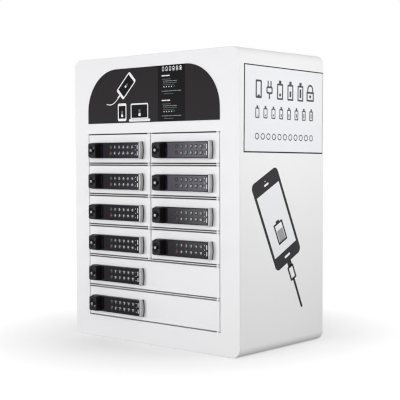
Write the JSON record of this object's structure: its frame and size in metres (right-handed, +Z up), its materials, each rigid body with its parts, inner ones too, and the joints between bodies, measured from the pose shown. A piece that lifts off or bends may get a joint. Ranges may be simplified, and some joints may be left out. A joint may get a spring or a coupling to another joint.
{
  "type": "charging locker",
  "caption": "White sheet-steel charging locker with an arched printed panel over two columns of small doors and two wide ones, each with a turning knob and keypad lock.",
  "frame": {"origin": "middle of the case's underside, halfway between its front and back", "axes": "+Z up, +Y from the front to the back, +X to the right as seen from the front"},
  "size_m": [0.483, 0.3148, 0.62],
  "materials": {
    "case_enamel": "semi-matt white powder coat",
    "door_enamel": "semi-matt white powder coat",
    "bay_enamel": "semi-matt white powder coat",
    "printed_panel": "satin black printed sheet",
    "module_plastic": "black moulded plastic",
    "pin_steel": "bright zinc-plated steel",
    "washer_nylon": "natural nylon",
    "power_case": "grey anodised aluminium",
    "inlet_plastic": "black moulded plastic",
    "lock_plastic": "satin black moulded plastic",
    "cap_metal": "satin nickel-plated zinc",
    "knob_plastic": "satin black moulded plastic"
  },
  "bodies": {
    "cabinet": {"case_shell": "case_enamel", "front_frame": "case_enamel", "graphic_panel": "printed_panel", "bay_walls": "bay_enamel", "column_dividers": "bay_enamel", "strike_plates": "bay_enamel", "bay_roof": "bay_enamel", "shelf_1": "bay_enamel", "shelf_2": "bay_enamel", "shelf_3": "bay_enamel", "shelf_4": "bay_enamel", "shelf_5": "bay_enamel", "bay_floor": "bay_enamel", "charging_wall": "bay_enamel", "charging_modules": "module_plastic", "pivot_pins": "pin_steel", "pivot_washers": "washer_nylon", "power_unit": "power_case", "back_panel": "case_enamel", "power_inlet": "inlet_plastic"},
    "door_left_1": {"door_left_1": "door_enamel", "lock_case_left_1": "lock_plastic", "lock_cap_left_1": "cap_metal"},
    "knob_left_1": {"lock_knob_left_1": "knob_plastic"},
    "door_left_2": {"door_left_2": "door_enamel", "lock_case_left_2": "lock_plastic", "lock_cap_left_2": "cap_metal"},
    "knob_left_2": {"lock_knob_left_2": "knob_plastic"},
    "door_left_3": {"door_left_3": "door_enamel", "lock_case_left_3": "lock_plastic", "lock_cap_left_3": "cap_metal"},
    "knob_left_3": {"lock_knob_left_3": "knob_plastic"},
    "door_left_4": {"door_left_4": "door_enamel", "lock_case_left_4": "lock_plastic", "lock_cap_left_4": "cap_metal"},
    "knob_left_4": {"lock_knob_left_4": "knob_plastic"},
    "door_right_1": {"door_right_1": "door_enamel", "lock_case_right_1": "lock_plastic", "lock_cap_right_1": "cap_metal"},
    "knob_right_1": {"lock_knob_right_1": "knob_plastic"},
    "door_right_2": {"door_right_2": "door_enamel", "lock_case_right_2": "lock_plastic", "lock_cap_right_2": "cap_metal"},
    "knob_right_2": {"lock_knob_right_2": "knob_plastic"},
    "door_right_3": {"door_right_3": "door_enamel", "lock_case_right_3": "lock_plastic", "lock_cap_right_3": "cap_metal"},
    "knob_right_3": {"lock_knob_right_3": "knob_plastic"},
    "door_right_4": {"door_right_4": "door_enamel", "lock_case_right_4": "lock_plastic", "lock_cap_right_4": "cap_metal"},
    "knob_right_4": {"lock_knob_right_4": "knob_plastic"},
    "door_wide_5": {"door_wide_5": "door_enamel", "lock_case_wide_5": "lock_plastic", "lock_cap_wide_5": "cap_metal"},
    "knob_wide_5": {"lock_knob_wide_5": "knob_plastic"},
    "door_wide_6": {"door_wide_6": "door_enamel", "lock_case_wide_6": "lock_plastic", "lock_cap_wide_6": "cap_metal"},
    "knob_wide_6": {"lock_knob_wide_6": "knob_plastic"}
  },
  "joints": [
    {"name": "door_left_1_hinge", "type": "hinge", "parent": "cabinet", "child": "door_left_1", "pos_m": [-0.00985, -0.14, 0.42025], "axis": [0, 0, 1], "range_deg": [0, 90]},
    {"name": "knob_left_1_turn", "type": "hinge", "parent": "door_left_1", "child": "knob_left_1", "pos_m": [-0.1613, -0.144, 0.41645], "axis": [0, -1, 0], "range_deg": [0, 90]},
    {"name": "door_left_2_hinge", "type": "hinge", "parent": "cabinet", "child": "door_left_2", "pos_m": [-0.00985, -0.14, 0.35225], "axis": [0, 0, 1], "range_deg": [0, 90]},
    {"name": "knob_left_2_turn", "type": "hinge", "parent": "door_left_2", "child": "knob_left_2", "pos_m": [-0.1613, -0.144, 0.34845], "axis": [0, -1, 0], "range_deg": [0, 90]},
    {"name": "door_left_3_hinge", "type": "hinge", "parent": "cabinet", "child": "door_left_3", "pos_m": [-0.00985, -0.14, 0.28425], "axis": [0, 0, 1], "range_deg": [0, 90]},
    {"name": "knob_left_3_turn", "type": "hinge", "parent": "door_left_3", "child": "knob_left_3", "pos_m": [-0.1613, -0.144, 0.28045], "axis": [0, -1, 0], "range_deg": [0, 90]},
    {"name": "door_left_4_hinge", "type": "hinge", "parent": "cabinet", "child": "door_left_4", "pos_m": [-0.00985, -0.14, 0.21625], "axis": [0, 0, 1], "range_deg": [0, 90]},
    {"name": "knob_left_4_turn", "type": "hinge", "parent": "door_left_4", "child": "knob_left_4", "pos_m": [-0.1613, -0.144, 0.21245], "axis": [0, -1, 0], "range_deg": [0, 90]},
    {"name": "door_right_1_hinge", "type": "hinge", "parent": "cabinet", "child": "door_right_1", "pos_m": [0.1828, -0.14, 0.42025], "axis": [0, 0, 1], "range_deg": [0, 90]},
    {"name": "knob_right_1_turn", "type": "hinge", "parent": "door_right_1", "child": "knob_right_1", "pos_m": [0.035, -0.144, 0.41645], "axis": [0, -1, 0], "range_deg": [0, 90]},
    {"name": "door_right_2_hinge", "type": "hinge", "parent": "cabinet", "child": "door_right_2", "pos_m": [0.1828, -0.14, 0.35225], "axis": [0, 0, 1], "range_deg": [0, 90]},
    {"name": "knob_right_2_turn", "type": "hinge", "parent": "door_right_2", "child": "knob_right_2", "pos_m": [0.035, -0.144, 0.34845], "axis": [0, -1, 0], "range_deg": [0, 90]},
    {"name": "door_right_3_hinge", "type": "hinge", "parent": "cabinet", "child": "door_right_3", "pos_m": [0.1828, -0.14, 0.28425], "axis": [0, 0, 1], "range_deg": [0, 90]},
    {"name": "knob_right_3_turn", "type": "hinge", "parent": "door_right_3", "child": "knob_right_3", "pos_m": [0.035, -0.144, 0.28045], "axis": [0, -1, 0], "range_deg": [0, 90]},
    {"name": "door_right_4_hinge", "type": "hinge", "parent": "cabinet", "child": "door_right_4", "pos_m": [0.1828, -0.14, 0.21625], "axis": [0, 0, 1], "range_deg": [0, 90]},
    {"name": "knob_right_4_turn", "type": "hinge", "parent": "door_right_4", "child": "knob_right_4", "pos_m": [0.035, -0.144, 0.21245], "axis": [0, -1, 0], "range_deg": [0, 90]},
    {"name": "door_wide_5_hinge", "type": "hinge", "parent": "cabinet", "child": "door_wide_5", "pos_m": [0.1828, -0.14, 0.14825], "axis": [0, 0, 1], "range_deg": [0, 90]},
    {"name": "knob_wide_5_turn", "type": "hinge", "parent": "door_wide_5", "child": "knob_wide_5", "pos_m": [-0.1613, -0.144, 0.14445], "axis": [0, -1, 0], "range_deg": [0, 90]},
    {"name": "door_wide_6_hinge", "type": "hinge", "parent": "cabinet", "child": "door_wide_6", "pos_m": [0.1828, -0.14, 0.08025], "axis": [0, 0, 1], "range_deg": [0, 90]},
    {"name": "knob_wide_6_turn", "type": "hinge", "parent": "door_wide_6", "child": "knob_wide_6", "pos_m": [-0.1613, -0.144, 0.07645], "axis": [0, -1, 0], "range_deg": [0, 90]}
  ]
}
